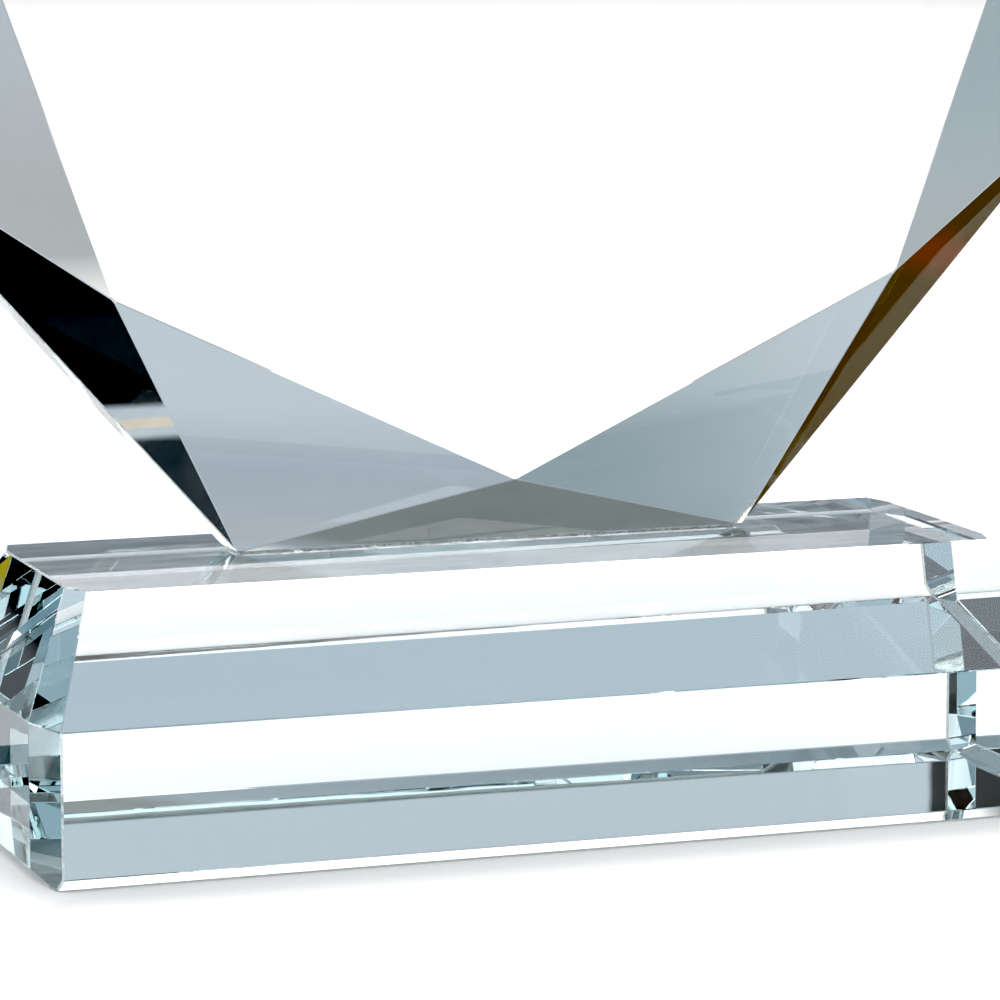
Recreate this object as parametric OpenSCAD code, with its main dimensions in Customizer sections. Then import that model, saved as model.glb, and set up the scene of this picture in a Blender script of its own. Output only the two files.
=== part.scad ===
// Crystal award: a faceted octagon plaque bonded on end to a long bevelled base block.
// The origin is the middle of the underside, +X runs along the base and -Y is the front.

/* [Base] */
// Length of the base at its underside
base_l = 158; // [120:1:240]
// Depth of the base at its underside
base_w = 78; // [60:1:120]
// Overall height of the base
base_h = 38; // [30:0.5:60]
// Height of the vertical walls, up to where the slopes start
wall_h = 22; // [10:0.5:26]
// How far the slope at each end runs in towards the top face
end_slope = 9; // [2:0.5:20]
// How far the front and back slopes run in towards the top face
side_slope = 17; // [6:0.5:20]
// Width of the sloping cut round the underside
foot_cut = 1.6; // [0.5:0.1:3]
// Height of the sloping cut round the underside
foot_rise = 1.7; // [0.5:0.1:3]

/* [Base corners] */
// How far each upright corner is cut back along the length
corner_l = 2.3; // [1:0.1:6]
// How far each upright corner is cut back along the depth
corner_w = 8.6; // [3:0.1:14]
// Size of the corner cut at the top face, as a part of its size at the walls
corner_taper = 0.67; // [0.4:0.01:1]

/* [Plaque] */
// Width of the octagon across its upright flats
plaque_w = 190; // [120:1:240]
// Height of the octagon across its level flats
plaque_h = 212; // [120:1:260]
// How far the table's left and right corners stop short of the girdle
ring_w = 10.5; // [6:0.5:18]
// How far the table's top and bottom corners stop short of the girdle
ring_h = 10; // [6:0.5:18]
// Depth of the ring of facets, from the table down to the girdle
facet_d = 9; // [3:0.5:14]
// Thickness of the square-edged girdle behind the facets
girdle_t = 8; // [5:0.5:20]
// How far the middle of the plaque stands behind the middle of the base
set_back = 2; // [0:0.5:5]

/* [Adhesive] */
// Thickness of the clear adhesive film between the plaque and the base
film_t = 0.2; // [0.1:0.05:0.5]
// How far the film stops short of the plaque's lower flat on every side
film_inset = 0.3; // [0:0.1:1]

/* [Hidden] */
sides = 8;
half_step = 180 / sides;
// The flat top face of the base
top_l = base_l - 2 * end_slope;
top_w = base_w - 2 * side_slope;
// The table facet, measured across its corners
table_w = plaque_w - 2 * ring_w;
table_h = plaque_h - 2 * ring_h;
plaque_t = facet_d + girdle_t;
plaque_mid_z = base_h + film_t + plaque_h / 2;
table_y = set_back - plaque_t / 2;
girdle_y = table_y + facet_d;
back_y = girdle_y + girdle_t;
// Half length of the octagon's lower flat, where it stands on the base
flat_half = plaque_w / 2 * tan(half_step);
// The stock that every cut starts from is larger than the whole award
stock = 4 * (base_l + base_w + base_h + plaque_w + plaque_h);

// Corner number i of the girdle outline, in the plane of the plaque's front girdle edge
function girdle_corner(i) =
    let (a = half_step + i * 2 * half_step, r = 1 / (2 * cos(half_step)))
    [plaque_w * r * cos(a), girdle_y, plaque_mid_z + plaque_h * r * sin(a)];

// Corner number i of the table, which is turned half a step from the girdle outline
function table_corner(i) =
    let (a = i * 2 * half_step)
    [table_w / 2 * cos(a), table_y, plaque_mid_z + table_h / 2 * sin(a)];

// Everything on the inner side of the plane through three points, which holds the point inner
module inside_plane(a, b, c, inner) {
    across = cross(b - a, c - a);
    out = across * (across * (inner - a) > 0 ? -1 : 1) / norm(across);
    rotate([0, acos(out.z), atan2(out.y, out.x)])
        translate([-stock / 2, -stock / 2, out * a - stock])
            cube(stock);
}

// A side view of the base: upright walls, slopes above them and a cut along the foot
module base_profile(foot, top) {
    polygon([
        [-foot / 2 + foot_cut, 0], [foot / 2 - foot_cut, 0],
        [foot / 2, foot_rise], [foot / 2, wall_h],
        [top / 2, base_h], [-top / 2, base_h],
        [-foot / 2, wall_h], [-foot / 2, foot_rise]
    ]);
}

// The plan of the base, a rectangle with its four corners cut
module base_plan() {
    x = base_l / 2;
    y = base_w / 2;
    polygon([
        [-x + corner_l, -y], [x - corner_l, -y], [x, -y + corner_w], [x, y - corner_w],
        [x - corner_l, y], [-x + corner_l, y], [-x, y - corner_w], [-x, -y + corner_w]
    ]);
}

// The sloping continuation of one corner cut, for the corner on sides sx and sy
module corner_slope(sx, sy) {
    inside_plane(
        [sx * (base_l / 2 - corner_l), sy * base_w / 2, wall_h],
        [sx * base_l / 2, sy * (base_w / 2 - corner_w), wall_h],
        [sx * (top_l / 2 - corner_l * corner_taper), sy * top_w / 2, base_h],
        [0, 0, wall_h]
    );
}

module base_block() {
    color([0.82, 0.9, 0.93, 0.5])
    intersection() {
        rotate([90, 0, 0])
            linear_extrude(height = base_w, center = true)
                base_profile(base_l, top_l);
        rotate([90, 0, 90])
            linear_extrude(height = base_l, center = true)
                base_profile(base_w, top_w);
        linear_extrude(height = base_h)
            base_plan();
        corner_slope(-1, -1);
        corner_slope(1, -1);
        corner_slope(-1, 1);
        corner_slope(1, 1);
    }
}

// The plaque before its facets are cut: the girdle outline, extruded from the table to the back
module plaque_slab() {
    translate([0, back_y, 0])
        rotate([90, 0, 0])
            linear_extrude(height = plaque_t)
                polygon([for (i = [0:sides - 1]) [girdle_corner(i).x, girdle_corner(i).z]]);
}

// The two facets at station i: one rises from a girdle edge, one falls from a table edge
module facet_pair(i) {
    middle = [0, back_y, plaque_mid_z];
    intersection() {
        inside_plane(girdle_corner(i - 1), girdle_corner(i), table_corner(i), middle);
        inside_plane(table_corner(i), table_corner(i + 1), girdle_corner(i), middle);
    }
}

module faceted_plaque() {
    color([0.85, 0.92, 0.94, 0.45])
    intersection() {
        plaque_slab();
        facet_pair(0);
        facet_pair(1);
        facet_pair(2);
        facet_pair(3);
        facet_pair(4);
        facet_pair(5);
        facet_pair(6);
        facet_pair(7);
    }
}

module adhesive_film() {
    color([0.9, 0.95, 0.97, 0.6])
    translate([-flat_half + film_inset, girdle_y + film_inset, base_h])
        cube([2 * (flat_half - film_inset), girdle_t - 2 * film_inset, film_t]);
}

base_block();
faceted_plaque();
adhesive_film();
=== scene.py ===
"""Crystal award: a faceted octagon plaque bonded on end to a bevelled base, in a pale studio."""

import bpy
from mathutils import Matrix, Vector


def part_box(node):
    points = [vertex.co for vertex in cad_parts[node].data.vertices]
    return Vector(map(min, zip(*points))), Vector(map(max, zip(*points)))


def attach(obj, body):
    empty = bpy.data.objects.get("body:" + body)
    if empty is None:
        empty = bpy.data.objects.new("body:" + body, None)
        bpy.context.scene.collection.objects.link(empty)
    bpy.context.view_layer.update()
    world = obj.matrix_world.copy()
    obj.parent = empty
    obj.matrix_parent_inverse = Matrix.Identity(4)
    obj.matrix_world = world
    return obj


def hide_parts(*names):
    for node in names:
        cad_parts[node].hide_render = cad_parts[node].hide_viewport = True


bl_info = {
    "name": "Crystal Award",
    "version": (1, 0, 0),
    "blender": (4, 5, 0),
    "location": "View3D > Sidebar > Award",
    "description": "Cuts a crystal plaque and its base, bonds them and sets them in a pale studio",
    "category": "Add Mesh",
}

import math
import random

import bmesh
import bpy
from bpy.props import FloatProperty, FloatVectorProperty, IntProperty, PointerProperty
from mathutils import Vector, noise

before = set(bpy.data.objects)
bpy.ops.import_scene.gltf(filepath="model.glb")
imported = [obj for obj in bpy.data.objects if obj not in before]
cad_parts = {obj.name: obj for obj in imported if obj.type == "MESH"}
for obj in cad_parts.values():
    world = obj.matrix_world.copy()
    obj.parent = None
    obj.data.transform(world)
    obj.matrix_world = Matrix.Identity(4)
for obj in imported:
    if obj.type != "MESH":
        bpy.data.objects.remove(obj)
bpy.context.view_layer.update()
BASE_LOW, BASE_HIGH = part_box("base_block")
FILM_LOW, FILM_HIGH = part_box("adhesive_film")
MM = 0.001
BLACK = (0.0, 0.0, 0.0, 1.0)
# Corners closer than this are one, and faces that turn by less than this are flat
SAME_PLACE = 0.001 * MM
SAME_PLANE = math.radians(0.5)
# How much the faces turn at an edge whose arris is left frosted
BASE_SHARP = math.radians(60.0)
PLAQUE_SHARP = math.radians(30.0)
# Width of a fine polished arris, as a part of a frosted one
FINE_PART = 0.5
# How far the film sinks into the crystal above and below it
FILM_BITE = 0.01 * MM
# The film's rim wanders in waves, so many to a metre, about a mean that stands a little proud. The
# lengths are in millimetres.
RIM_WAVES = 900.0
RIM_WANDER = 0.35
RIM_PROUD = 0.1
# Where the wandering starts and over what stretch it grows, as parts of the way out, and how much
# of it is left at the two ends
RIM_START = 0.7
RIM_REACH = 0.3
END_WANDER = 0.2
# Radii of the smallest and the largest bubble, in millimetres
BUBBLE_SIZES = (0.3, 0.85)
BUBBLE_SEED = 7
# How far the soft shade reaches in front of the base, and how dark it is
FRONT_SHADE = 7.0 * MM
SHADE_PART = 0.24
# How far the painted contact shadow under the base stops short of its outline, and how soft its edge
# is
FOOT_RIM = 2.0 * MM
CONTACT_SHADOW_EDGE = 0.5 * MM
# The colour of the painted glow in the floor, which keeps the floor pale in the award's own shade
GLOW_COLOR = (0.95, 1.0, 0.99, 1.0)
# How far the floor lies under the base, and how far the mats lie over the floor's level
FLOOR_GAP = 0.02 * MM
MAT_HEIGHT = 0.3 * MM
SENSOR_WIDTH = 36.0
NEAR_CLIP = 0.05
FAR_CLIP = 50.0
# The scene brightness that is shown as black and as white, for each colour
BLACK_LEVEL = (0.035, 0.042, 0.045)
WHITE_LEVEL = (0.90, 0.97, 0.975)
# How often light may turn on its way through the crystal, and how often it may be mirrored
CRYSTAL_BOUNCES = 24
MIRROR_BOUNCES = 16


# ---------------------------------------------------------------- sizes and colours


class CrystalSettings(bpy.types.PropertyGroup):
    """Sizes and colours of the cut crystal."""

    base_arris: FloatProperty(
        name="Base arris",
        description="Width of the arris along the base's sharp edges. The others get half",
        default=0.4 * MM,
        min=0.05 * MM,
        max=1.5 * MM,
        unit="LENGTH",
        precision=5,
    )
    plaque_arris: FloatProperty(
        name="Plaque arris",
        description="Width of the arris along the plaque's sharp edges. The others get half",
        default=0.42 * MM,
        min=0.05 * MM,
        max=1.0 * MM,
        unit="LENGTH",
        precision=5,
    )
    refraction: FloatProperty(
        name="Refractive index",
        description="How strongly the crystal bends light",
        default=1.52,
        min=1.3,
        max=1.9,
    )
    body_tint: FloatVectorProperty(
        name="Body tint",
        description="Colour that the crystal takes on where light travels a long way through it",
        default=(0.60, 0.82, 0.86),
        min=0.0,
        max=1.0,
        subtype="COLOR",
    )
    tint_depth: FloatProperty(
        name="Tint depth",
        description="How quickly the body tint builds up along the light's way",
        default=3.0,
        min=0.0,
        max=20.0,
    )


class AdhesiveSettings(bpy.types.PropertyGroup):
    """Detail of the clear adhesive between the plaque and the base."""

    cell: FloatProperty(
        name="Detail",
        description="Size of the smallest step in the film's ragged edge",
        default=0.3 * MM,
        min=0.1 * MM,
        max=1.0 * MM,
        unit="LENGTH",
        precision=5,
    )
    bubbles: IntProperty(
        name="Bubbles",
        description="Number of air bubbles caught in the film",
        default=46,
        min=0,
        max=200,
    )


class StudioSettings(bpy.types.PropertyGroup):
    """The camera, the floor and the black mats."""

    yaw: FloatProperty(
        name="Camera yaw",
        description="How far the camera stands round to the left of the front",
        default=math.radians(19.87),
        subtype="ANGLE",
    )
    pitch: FloatProperty(
        name="Camera pitch",
        description="How far the camera looks down",
        default=math.radians(8.58),
        subtype="ANGLE",
    )
    distance: FloatProperty(
        name="Camera distance",
        description="From the camera to the point that it looks at",
        default=0.7071,
        min=0.1,
        unit="LENGTH",
    )
    aim_above_base: FloatProperty(
        name="Aim height",
        description="Height of the point that the camera looks at, above the top of the base",
        default=6.2 * MM,
        unit="LENGTH",
        precision=5,
    )
    lens: FloatProperty(
        name="Lens",
        description="Focal length of the camera, in millimetres",
        default=174.1,
        min=20.0,
    )
    floor_radius: FloatProperty(
        name="Floor radius",
        description="How far the pale floor reaches",
        default=1.6,
        min=1.0,
        unit="LENGTH",
    )
    floor_color: FloatVectorProperty(
        name="Floor",
        description="Colour of the floor",
        default=(0.86, 0.90, 0.895),
        min=0.0,
        max=1.0,
        subtype="COLOR",
    )
    mat_gap: FloatProperty(
        name="Mat gap",
        description="From each end of the base to the black mat beside it",
        default=12.0 * MM,
        min=0.0,
        unit="LENGTH",
    )
    mat_length: FloatProperty(
        name="Mat length",
        description="Length of each black mat, along the base",
        default=0.16,
        min=0.01,
        unit="LENGTH",
    )
    mat_width: FloatProperty(
        name="Mat width",
        description="Width of each black mat",
        default=0.12,
        min=0.01,
        unit="LENGTH",
    )
    # A painted glow: the floor gives off light so that it stays pale in the award's own shade
    floor_glow: FloatProperty(
        name="Floor glow",
        description="How much light comes up through the floor, as on a light table",
        default=0.16,
        min=0.0,
        max=2.0,
    )


# ---------------------------------------------------------------- shader maths


class Value:
    """A shader socket. Arithmetic on it adds Math nodes to its tree."""

    def __init__(self, tree, socket=None):
        self.tree = tree
        self.socket = socket

    def node(self, kind, settings=None, sockets=None, output=0):
        """Adds a node, sets it up, fills or links its sockets and wraps one of its outputs."""
        made = self.tree.nodes.new(kind)
        for name, setting in (settings or {}).items():
            if name == "stops":
                fill_ramp(made.color_ramp, setting)
            else:
                setattr(made, name, setting)
        for name, value in (sockets or {}).items():
            if isinstance(value, Value):
                self.tree.links.new(value.socket, made.inputs[name])
            else:
                made.inputs[name].default_value = value
        return Value(self.tree, made.outputs[output] if made.outputs else None)

    def output(self, index):
        """Another output of the same node."""
        return Value(self.tree, self.socket.node.outputs[index])

    def math(self, operation, *values):
        """A Math node on numbers or sockets."""
        sockets = dict(enumerate(values))
        return self.node("ShaderNodeMath", {"operation": operation}, sockets)

    def mix(self, mask, first, second):
        """Blends two colours by a mask from 0 to 1."""
        sockets = {"Factor": mask, 6: first, 7: second}
        return self.node("ShaderNodeMix", {"data_type": "RGBA"}, sockets, output=2)

    def between(self, low, high):
        """A smooth mask that goes from 0 at low to 1 at high."""
        sockets = {"Value": self, "From Min": low, "From Max": high}
        return self.node("ShaderNodeMapRange", {"interpolation_type": "SMOOTHSTEP"}, sockets)

    def __add__(self, other):
        return self.math("ADD", self, other)

    def __radd__(self, other):
        return self.math("ADD", other, self)

    def __sub__(self, other):
        return self.math("SUBTRACT", self, other)

    def __rsub__(self, other):
        return self.math("SUBTRACT", other, self)

    def __mul__(self, other):
        return self.math("MULTIPLY", self, other)

    def __rmul__(self, other):
        return self.math("MULTIPLY", other, self)

    def __truediv__(self, other):
        return self.math("DIVIDE", self, other)


def fill_ramp(ramp, stops):
    """Sets a colour ramp to a list of (position, colour)."""
    while len(ramp.elements) > 1:
        ramp.elements.remove(ramp.elements[-1])
    ramp.elements[0].position = stops[0][0]
    ramp.elements[0].color = (*stops[0][1], 1.0)
    for position, color in stops[1:]:
        ramp.elements.new(position).color = (*color, 1.0)


def new_material(name):
    """A material with an empty node tree, wrapped for shader maths, and its Object coordinates."""
    material = bpy.data.materials.new(name)
    material.use_nodes = True
    material.node_tree.nodes.clear()
    tree = Value(material.node_tree)
    place = tree.node("ShaderNodeTexCoord", output=3)
    return material, tree, place


def grain(place, scale, detail=3.0, stretch=(1.0, 1.0, 1.0)):
    """Noise from 0 to 1 with that many patches per metre, stretched along the axes."""
    at = place.node("ShaderNodeMapping", None, {"Vector": place, "Scale": stretch})
    sockets = {"Vector": at, "Scale": scale, "Detail": detail}
    return place.node("ShaderNodeTexNoise", None, sockets)


# ---------------------------------------------------------------- materials


def raised(height, strength, depth):
    """Bumps that follow a height from 0 to 1."""
    sockets = {"Height": height, "Strength": strength, "Distance": depth}
    return height.node("ShaderNodeBump", None, sockets)


def clear_surface(settings, color, roughness, relief):
    """A surface that light goes through and is bent by."""
    return color.node(
        "ShaderNodeBsdfPrincipled",
        None,
        {
            "Base Color": color,
            "Roughness": roughness,
            "IOR": settings.refraction,
            "Transmission Weight": 1.0,
            "Normal": relief,
        },
    )


def add_crystal(tree, settings, surface):
    """Ends a crystal's nodes with its surface and the faint colour that builds up in its depth."""
    depth = tree.node(
        "ShaderNodeVolumeAbsorption",
        None,
        {"Color": (*settings.body_tint, 1.0), "Density": settings.tint_depth},
    )
    tree.node("ShaderNodeOutputMaterial", None, {"Surface": surface, "Volume": depth})


def polished_crystal(name, settings):
    """Optical crystal: clear, faintly blue in its depth, with the haze and ripple of polishing."""
    material, tree, place = new_material(name)
    haze = grain(place, 90.0)
    ripple = grain(place, 45.0, 2.0, (1.0, 1.0, 2.5))
    color = tree.mix(haze, (1.0, 1.0, 1.0, 1.0), (0.985, 0.995, 1.0, 1.0))
    relief = raised(ripple, 0.25, 0.01 * MM)
    surface = clear_surface(settings, color, 0.002 + 0.006 * haze, relief)
    add_crystal(tree, settings, surface)
    return material


def ground_crystal(name, settings, roughness, frost, patches):
    """Crystal that was ground and only half polished: frosted in patches, with small pits."""
    material, tree, place = new_material(name)
    patch = grain(place, patches, 4.0)
    pits = grain(place, patches * 5.0, 2.0)
    mask = patch.between(0.35, 0.7)
    color = tree.mix(mask, (0.98, 0.99, 1.0, 1.0), (0.90, 0.95, 0.95, 1.0))
    relief = raised(patch + 0.4 * pits, 0.3, 0.02 * MM)
    clear = clear_surface(settings, color, roughness * (0.4 + mask), relief)
    white = tree.node(
        "ShaderNodeBsdfPrincipled",
        None,
        {"Base Color": color, "Roughness": 0.5, "IOR": settings.refraction, "Normal": relief},
    )
    whiteness = frost * (0.4 + 0.6 * mask)
    surface = tree.node("ShaderNodeMixShader", None, {0: whiteness, 1: clear, 2: white})
    add_crystal(tree, settings, surface)
    return material


def cured_adhesive(name, settings):
    """Clear cured adhesive, a little cloudy where it was stirred."""
    material, tree, place = new_material(name)
    cloud = grain(place, 500.0, 4.0, (1.0, 2.0, 1.0))
    color = tree.mix(cloud.between(0.4, 0.6), (0.96, 0.98, 0.97, 1.0), (0.5, 0.58, 0.55, 1.0))
    relief = raised(cloud, 0.4, 0.02 * MM)
    surface = clear_surface(settings, color, 0.05 + 0.1 * cloud, relief)
    tree.node("ShaderNodeOutputMaterial", None, {"Surface": surface})
    return material


def pale_floor(name, color, glow):
    """The plain floor, with a painted glow that keeps it pale in the award's own shade, the painted
    soft shade that the award casts in front of it, and a painted dark contact shadow under it,
    streaked."""
    material, tree, place = new_material(name)
    mottle = grain(place, 6.0)
    # Streaks that break up the painted contact shadow under the base
    shadow_streaks = grain(place, 260.0, 4.0, (0.25, 1.0, 1.0)).between(0.36, 0.62)
    along = place.node("ShaderNodeSeparateXYZ", None, {0: place})
    across = along.output(1)
    beyond_end = tree.math("ABSOLUTE", along) - BASE_HIGH.x
    beyond_side = tree.math("ABSOLUTE", across + FRONT_SHADE) - BASE_HIGH.y
    beyond = tree.math("MAXIMUM", beyond_end, beyond_side)
    shade = SHADE_PART * (1 - beyond.between(-0.5 * FRONT_SHADE, FRONT_SHADE))
    # The painted contact shadow: a dark patch just inside the base's outline, where the floor lies
    # in shade
    inside_end = tree.math("ABSOLUTE", along) - BASE_HIGH.x + FOOT_RIM
    inside_side = tree.math("ABSOLUTE", across) - BASE_HIGH.y + FOOT_RIM
    inside = tree.math("MAXIMUM", inside_end, inside_side)
    under = 1 - inside.between(-CONTACT_SHADOW_EDGE, CONTACT_SHADOW_EDGE)
    pale = tree.mix(mottle, (*color, 1.0), (*[0.985 * channel for channel in color], 1.0))
    shaded = tree.mix(shade, pale, BLACK)
    # The colour of the painted contact shadow, streaked dark and less dark
    patch = tree.mix(shadow_streaks, (0.10, 0.14, 0.14, 1.0), (0.42, 0.46, 0.44, 1.0))
    # The painted glow is dimmed in the painted soft shade and left out under the painted contact
    # shadow
    light = tree.mix(shade, GLOW_COLOR, BLACK)
    surface = tree.node(
        "ShaderNodeBsdfPrincipled",
        None,
        {
            "Base Color": tree.mix(under, shaded, patch),
            "Roughness": 0.6 + 0.1 * mottle,
            "Specular IOR Level": 0.2,
            "Emission Color": tree.mix(under, light, BLACK),
            "Emission Strength": glow,
        },
    )
    tree.node("ShaderNodeOutputMaterial", None, {"Surface": surface})
    return material


def black_velvet(name):
    """Matt black cloth with a fine nap."""
    material, tree, place = new_material(name)
    nap = grain(place, 800.0)
    color = tree.mix(nap, (0.012, 0.022, 0.028, 1.0), (0.03, 0.05, 0.06, 1.0))
    surface = tree.node("ShaderNodeBsdfPrincipled", None, {"Base Color": color, "Roughness": 0.9})
    tree.node("ShaderNodeOutputMaterial", None, {"Surface": surface})
    return material


# ---------------------------------------------------------------- pieces


def new_object(name, mesh_edit, materials):
    """Turns an edited mesh into an object of the scene."""
    mesh = bpy.data.meshes.new(name)
    mesh_edit.to_mesh(mesh)
    mesh_edit.free()
    for material in materials:
        mesh.materials.append(material)
    made = bpy.data.objects.new(name, mesh)
    bpy.context.scene.collection.objects.link(made)
    return made


def finish_piece(name, mesh_edit, materials, node):
    """Turns an edited mesh into a piece that rides on the award and stands for a CAD node."""
    piece = new_object(name, mesh_edit, materials)
    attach(piece, "root")
    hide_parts(node)


def node_copy(node):
    """An editable copy of a CAD node with its loose triangles merged and its flat faces whole."""
    mesh_edit = bmesh.new()
    mesh_edit.from_mesh(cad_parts[node].data)
    bmesh.ops.remove_doubles(mesh_edit, verts=mesh_edit.verts, dist=SAME_PLACE)
    bmesh.ops.dissolve_limit(
        mesh_edit, angle_limit=SAME_PLANE, verts=mesh_edit.verts, edges=mesh_edit.edges
    )
    bmesh.ops.recalc_face_normals(mesh_edit, faces=mesh_edit.faces)
    return mesh_edit


def cut_arrises(mesh_edit, width, sharp):
    """Grinds a flat arris along every edge of a convex block. It is frosted where the faces turn by
    more than the angle sharp, and finer and polished on every other edge."""
    cuts = []
    for edge in mesh_edit.edges:
        first, second = (face.normal for face in edge.link_faces)
        outward = (first + second).normalized()
        turn = first.angle(second)
        shallow = turn < sharp
        depth = width * (FINE_PART if shallow else 1.0) / 2 * math.tan(turn / 2)
        cuts.append((edge.verts[0].co - outward * depth, outward, 0 if shallow else 1))
    for point, outward, material_index in cuts:
        cut = bmesh.ops.bisect_plane(
            mesh_edit,
            geom=[*mesh_edit.verts, *mesh_edit.edges, *mesh_edit.faces],
            dist=SAME_PLACE / 10,
            plane_co=point,
            plane_no=outward,
            clear_outer=True,
        )
        rim = [item for item in cut["geom_cut"] if isinstance(item, bmesh.types.BMEdge)]
        for face in bmesh.ops.edgeloop_fill(mesh_edit, edges=rim)["faces"]:
            face.material_index = material_index
    bmesh.ops.recalc_face_normals(mesh_edit, faces=mesh_edit.faces)


class AWARD_OT_base(bpy.types.Operator):
    """Cut the arrises of the crystal base"""

    bl_idname = "award.base"
    bl_label = "Crystal Base"

    def execute(self, context):
        settings = context.scene.award_crystal
        mesh_edit = node_copy("base_block")
        cut_arrises(mesh_edit, settings.base_arris, BASE_SHARP)
        materials = [
            polished_crystal("base_polish", settings),
            ground_crystal("base_arris", settings, roughness=0.2, frost=0.6, patches=900.0),
        ]
        finish_piece("crystal_base", mesh_edit, materials, "base_block")
        return {"FINISHED"}


class AWARD_OT_plaque(bpy.types.Operator):
    """Cut the arrises of the faceted plaque"""

    bl_idname = "award.plaque"
    bl_label = "Crystal Plaque"

    def execute(self, context):
        settings = context.scene.award_crystal
        mesh_edit = node_copy("faceted_plaque")
        cut_arrises(mesh_edit, settings.plaque_arris, PLAQUE_SHARP)
        materials = [
            polished_crystal("plaque_polish", settings),
            ground_crystal("plaque_arris", settings, roughness=0.2, frost=0.75, patches=900.0),
        ]
        finish_piece("crystal_plaque", mesh_edit, materials, "faceted_plaque")
        return {"FINISHED"}


class AWARD_OT_adhesive(bpy.types.Operator):
    """Spread the clear adhesive film under the plaque, with its ragged edge and bubbles"""

    bl_idname = "award.adhesive"
    bl_label = "Adhesive Film"

    def execute(self, context):
        settings = context.scene.award_adhesive
        crystal = context.scene.award_crystal
        spread = ragged_film(settings)
        materials = [
            cured_adhesive("adhesive_clear", crystal),
            ground_crystal("adhesive_rim", crystal, roughness=0.3, frost=0.9, patches=700.0),
        ]
        finish_piece("adhesive_layer", spread, materials, "adhesive_film")
        return {"FINISHED"}


def ragged_film(settings):
    """A thin sheet under the plaque's foot whose rim wanders and which has holes for bubbles."""
    middle = (FILM_LOW + FILM_HIGH) / 2
    half = (FILM_HIGH - FILM_LOW) / 2
    mesh_edit = bmesh.new()
    columns = round(2 * half.x / settings.cell)
    rows = round(2 * half.y / settings.cell)
    bmesh.ops.create_grid(mesh_edit, x_segments=columns, y_segments=rows, size=1.0)
    bmesh.ops.scale(mesh_edit, vec=(half.x, half.y, 1.0), verts=mesh_edit.verts)
    for vert in mesh_edit.verts:
        way_out = max(abs(vert.co.x) / half.x, abs(vert.co.y) / half.y)
        wander = noise.noise(vert.co * RIM_WAVES) * RIM_WANDER * MM + RIM_PROUD * MM
        reach = max(0.0, (way_out - RIM_START) / RIM_REACH)
        outward = Vector((vert.co.x / half.x * END_WANDER, vert.co.y / half.y, 0.0))
        vert.co += outward * wander * reach
    pierce(mesh_edit, bubble_spots(half, settings.bubbles))
    rim = [vert for vert in mesh_edit.verts if vert.is_boundary]
    bmesh.ops.smooth_vert(
        mesh_edit, verts=rim, factor=0.5, use_axis_x=True, use_axis_y=True, use_axis_z=False
    )
    thickness = 2 * half.z + 2 * FILM_BITE
    extruded = bmesh.ops.extrude_face_region(mesh_edit, geom=list(mesh_edit.faces))
    top = [item for item in extruded["geom"] if isinstance(item, bmesh.types.BMVert)]
    bmesh.ops.translate(mesh_edit, vec=(0.0, 0.0, thickness), verts=top)
    place = (middle.x, middle.y, FILM_LOW.z - FILM_BITE)
    bmesh.ops.translate(mesh_edit, vec=place, verts=mesh_edit.verts)
    bmesh.ops.recalc_face_normals(mesh_edit, faces=mesh_edit.faces)
    for face in mesh_edit.faces:
        if abs(face.normal.z) < 0.5:
            face.material_index = 1
    return mesh_edit


def bubble_spots(half, count):
    """The middle and the radius of each bubble, strewn over the film."""
    chance = random.Random(BUBBLE_SEED)
    spots = []
    for _ in range(count):
        spot = Vector((chance.uniform(-half.x, half.x), chance.uniform(-half.y, half.y), 0.0))
        spots.append((spot, chance.uniform(*BUBBLE_SIZES) * MM))
    return spots


def pierce(mesh_edit, spots):
    """Opens a hole in the film at each bubble."""
    doomed = []
    for face in mesh_edit.faces:
        centre = face.calc_center_median()
        if any((centre - spot).length < radius for spot, radius in spots):
            doomed.append(face)
    bmesh.ops.delete(mesh_edit, geom=doomed, context="FACES")


# ---------------------------------------------------------------- stage


# Brightness of the walls and the ceiling, from straight down to straight up
WALL_HEIGHTS = [
    (-90.0, (1.0, 1.03, 1.03)),
    (-2.6, (1.0, 1.03, 1.03)),
    (-2.5, (0.37, 0.43, 0.44)),
    (-1.2, (0.37, 0.43, 0.44)),
    (0.5, (0.41, 0.49, 0.54)),
    (1.6, (0.36, 0.45, 0.52)),
    (1.9, (0.45, 0.56, 0.62)),
    (14.0, (0.49, 0.60, 0.65)),
    (21.0, (0.19, 0.27, 0.31)),
    (28.0, (0.20, 0.30, 0.34)),
    (36.0, (0.33, 0.47, 0.54)),
    (40.0, (0.34, 0.48, 0.55)),
    (46.0, (0.46, 0.58, 0.64)),
    (54.0, (2.6, 2.6, 2.6)),
    (90.0, (2.6, 2.6, 2.6)),
]
WALL_STOPS = [(degrees / 180.0 + 0.5, color) for degrees, color in WALL_HEIGHTS]
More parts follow.
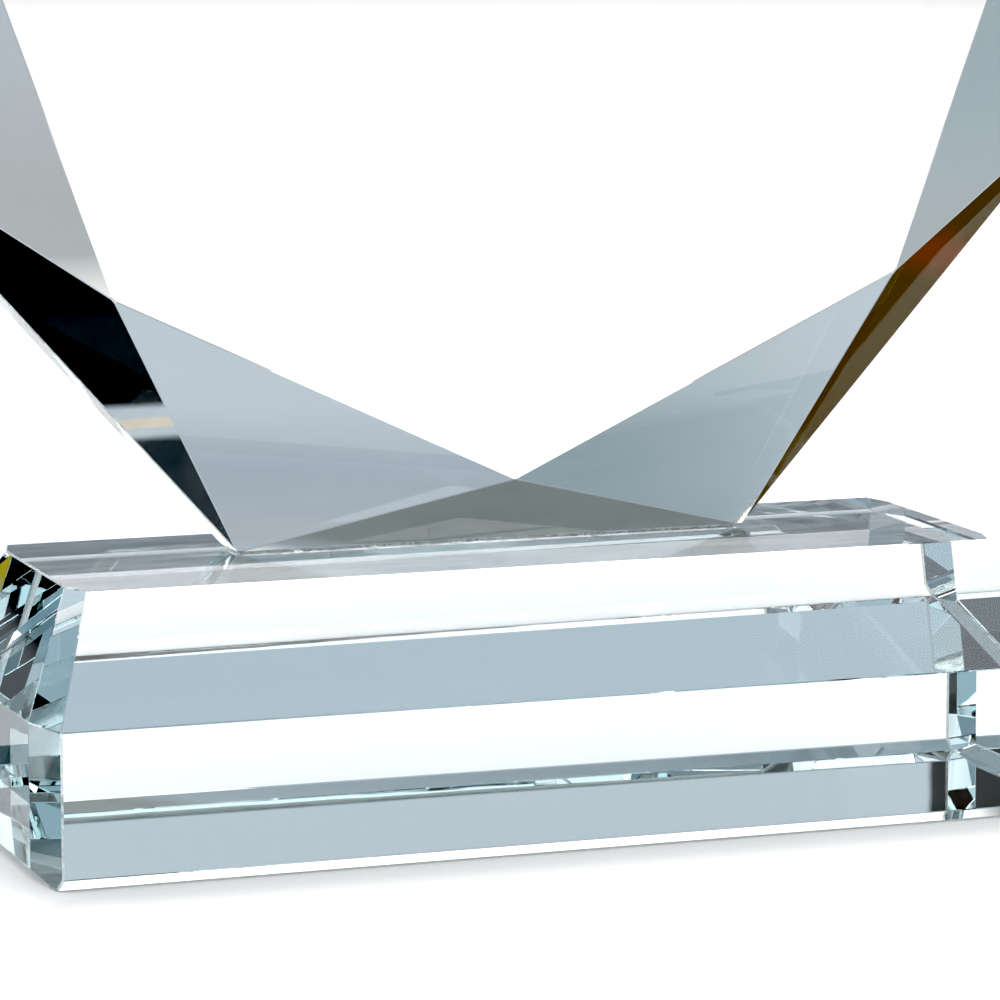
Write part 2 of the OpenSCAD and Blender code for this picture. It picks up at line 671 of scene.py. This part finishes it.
# Each card has a colour, its sides as yaw and its lower and upper edges as height, all in degrees as
# seen from the award, and how soft its edges are. A later card stands in front of an earlier one.
CARDS = {
    "far_wall_left": ((0.28, 0.38, 0.42), -60.0, 19.5, -2.6, 6.0, 4.0),
    "strip_light": ((1.6, 1.6, 1.58), -180.0, 180.0, 15.6, 17.9, 0.3),
    "grey_card": ((0.185, 0.225, 0.225), 14.0, 28.0, 17.8, 19.6, 0.2),
    "black_flag": ((0.014, 0.019, 0.022), 29.0, 42.0, 7.7, 12.0, 0.1),
    "flag_foot": ((0.022, 0.032, 0.040), 29.0, 42.0, 5.0, 7.45, 0.1),
    "flag_gap": ((0.62, 0.62, 0.52), 29.0, 42.0, 7.49, 7.63, 0.03),
    "amber_wall": ((0.075, 0.048, 0.001), -8.0, 8.0, 10.4, 16.6, 0.8),
    "amber_glow": ((0.16, 0.05, 0.005), 0.6, 3.0, 14.2, 15.0, 0.4),
    "left_flag_high": ((0.012, 0.020, 0.024), -34.0, -26.0, 15.0, 19.0, 1.0),
    "left_mirror": ((0.010, 0.020, 0.024), -20.5, -11.0, 6.4, 9.4, 0.4),
    "left_black": ((0.004, 0.008, 0.010), -33.0, -19.0, 9.4, 13.6, 0.4),
    "left_teal": ((0.04, 0.08, 0.09), -60.0, -15.0, 29.0, 36.0, 1.0),
    "left_high": ((0.05, 0.09, 0.11), -60.0, -22.0, 37.6, 41.0, 0.5),
    "front_high": ((0.03, 0.06, 0.08), -24.0, -5.0, 42.0, 50.0, 1.0),
    "orange_strip": ((0.80, 0.32, 0.02), 136.0, 152.0, 44.6, 47.0, 0.5),
    "gold_strip": ((0.75, 0.52, 0.05), -170.0, -152.0, 36.0, 37.4, 0.4),
    "yellow_strip": ((0.85, 0.66, 0.08), -21.5, -15.0, 37.0, 38.8, 0.4),
    "top_card": ((0.33, 0.39, 0.44), 8.0, 28.5, 7.6, 10.4, 0.4),
    "end_card": ((0.004, 0.008, 0.010), 25.0, 28.9, 9.6, 15.2, 0.1),
    "corner_flag": ((0.010, 0.030, 0.045), 44.0, 62.0, 8.05, 14.0, 0.2),
    "right_card": ((0.12, 0.20, 0.25), 62.0, 80.0, 8.0, 14.6, 0.5),
    "right_card_top": ((0.03, 0.07, 0.08), 62.0, 80.0, 12.76, 14.8, 0.1),
    "back_teal": ((0.04, 0.08, 0.10), 80.0, 172.0, 8.6, 13.2, 0.5),
    "back_teal_high": ((0.05, 0.09, 0.10), 120.0, 142.0, 32.0, 44.0, 1.0),
    "back_flag": ((0.02, 0.03, 0.03), 138.0, 150.0, 12.0, 18.0, 1.0),
    "ceiling_flag": ((0.004, 0.006, 0.008), -90.0, -45.0, 61.0, 71.0, 1.0),
}


def studio_world():
    """Soft light all round: pale walls, a bright ceiling and the cards in front of the walls."""
    world = bpy.data.worlds.new("studio")
    world.use_nodes = True
    world.node_tree.nodes.clear()
    tree = Value(world.node_tree)
    toward = tree.node("ShaderNodeTexCoord")
    east = tree.node("ShaderNodeSeparateXYZ", None, {0: toward})
    yaw = tree.math("ARCTAN2", east, east.output(1)) * math.degrees(1.0)
    height = tree.math("ARCSINE", east.output(2)) * math.degrees(1.0)
    light = tree.node("ShaderNodeValToRGB", {"stops": WALL_STOPS}, {0: height / 180.0 + 0.5})
    for color, left, right, low, high, soft in CARDS.values():
        sides = yaw.between(left, left + soft) * (1 - yaw.between(right - soft, right))
        edges = height.between(low, low + soft) * (1 - height.between(high - soft, high))
        light = tree.mix(sides * edges, light, (*color, 1.0))
    shine = tree.node("ShaderNodeBackground", None, {"Color": light, "Strength": 1.0})
    tree.node("ShaderNodeOutputWorld", None, {"Surface": shine})
    bpy.context.scene.world = world


def studio_floor(settings):
    """A round floor under the award."""
    mesh_edit = bmesh.new()
    bmesh.ops.create_circle(mesh_edit, cap_ends=True, segments=96, radius=settings.floor_radius)
    paint = pale_floor("floor_paint", settings.floor_color, settings.floor_glow)
    floor = new_object("floor", mesh_edit, [paint])
    floor.location.z = BASE_LOW.z - FLOOR_GAP


def side_mats(settings):
    """Black mats on the floor beyond both ends of the award, which only the crystal sees."""
    cloth = black_velvet("mat_velvet")
    size = (settings.mat_length, settings.mat_width, 1.0)
    reach = BASE_HIGH.x + settings.mat_gap + settings.mat_length / 2
    for name, side in (("left_mat", -1.0), ("right_mat", 1.0)):
        mesh_edit = bmesh.new()
        bmesh.ops.create_grid(mesh_edit, x_segments=1, y_segments=1, size=0.5)
        bmesh.ops.scale(mesh_edit, vec=size, verts=mesh_edit.verts)
        bmesh.ops.translate(mesh_edit, vec=(side * reach, 0.0, MAT_HEIGHT), verts=mesh_edit.verts)
        mat = new_object(name, mesh_edit, [cloth])
        mat.visible_camera = False
        mat.visible_diffuse = False
        mat.visible_shadow = False


def studio_camera(settings):
    """A long lens, a little above the award and to the left of its front."""
    aim = Vector((0.0, 0.0, BASE_HIGH.z + settings.aim_above_base))
    forward = Vector(
        (
            math.sin(settings.yaw) * math.cos(settings.pitch),
            math.cos(settings.yaw) * math.cos(settings.pitch),
            -math.sin(settings.pitch),
        )
    )
    data = bpy.data.cameras.new("camera")
    data.sensor_width = SENSOR_WIDTH
    data.lens = settings.lens
    data.clip_start = NEAR_CLIP
    data.clip_end = FAR_CLIP
    camera = bpy.data.objects.new("camera", data)
    camera.location = aim - forward * settings.distance
    camera.rotation_euler = (math.pi / 2 - settings.pitch, 0.0, -settings.yaw)
    bpy.context.scene.collection.objects.link(camera)
    bpy.context.scene.camera = camera


class AWARD_OT_stage(bpy.types.Operator):
    """Set the floor, the studio light and the camera"""

    bl_idname = "award.stage"
    bl_label = "Studio"

    def execute(self, context):
        scene = context.scene
        settings = scene.award_studio
        studio_world()
        studio_floor(settings)
        side_mats(settings)
        studio_camera(settings)
        scene.view_settings.view_transform = "Standard"
        scene.view_settings.use_curve_mapping = True
        scene.view_settings.curve_mapping.black_level = BLACK_LEVEL
        scene.view_settings.curve_mapping.white_level = WHITE_LEVEL
        scene.cycles.max_bounces = CRYSTAL_BOUNCES
        scene.cycles.glossy_bounces = MIRROR_BOUNCES
        scene.cycles.transmission_bounces = CRYSTAL_BOUNCES
        return {"FINISHED"}


# ---------------------------------------------------------------- panel and registration


class AWARD_PT_panel(bpy.types.Panel):
    """Lists what the add-on builds, with its sizes and colours"""

    bl_label = "Crystal Award"
    bl_idname = "AWARD_PT_panel"
    bl_space_type = "VIEW_3D"
    bl_region_type = "UI"
    bl_category = "Award"

    def draw(self, context):
        for pointer, operators in PANEL_ROWS:
            settings = getattr(context.scene, pointer)
            box = self.layout.box()
            for name in settings.__annotations__:
                box.prop(settings, name)
            for operator in operators:
                box.operator(operator.bl_idname)


PANEL_ROWS = [
    ("award_crystal", [AWARD_OT_base, AWARD_OT_plaque]),
    ("award_adhesive", [AWARD_OT_adhesive]),
    ("award_studio", [AWARD_OT_stage]),
]
GROUPS = {
    "award_crystal": CrystalSettings,
    "award_adhesive": AdhesiveSettings,
    "award_studio": StudioSettings,
}
CLASSES = [
    *GROUPS.values(),
    AWARD_OT_base,
    AWARD_OT_plaque,
    AWARD_OT_adhesive,
    AWARD_OT_stage,
    AWARD_PT_panel,
]


def register():
    for cls in CLASSES:
        bpy.utils.register_class(cls)
    for pointer, group in GROUPS.items():
        setattr(bpy.types.Scene, pointer, PointerProperty(type=group))


def unregister():
    for pointer in GROUPS:
        delattr(bpy.types.Scene, pointer)
    for cls in reversed(CLASSES):
        bpy.utils.unregister_class(cls)


def main():
    register()
    bpy.ops.award.base()
    bpy.ops.award.plaque()
    bpy.ops.award.adhesive()
    bpy.ops.award.stage()


if __name__ == "__main__":
    main()
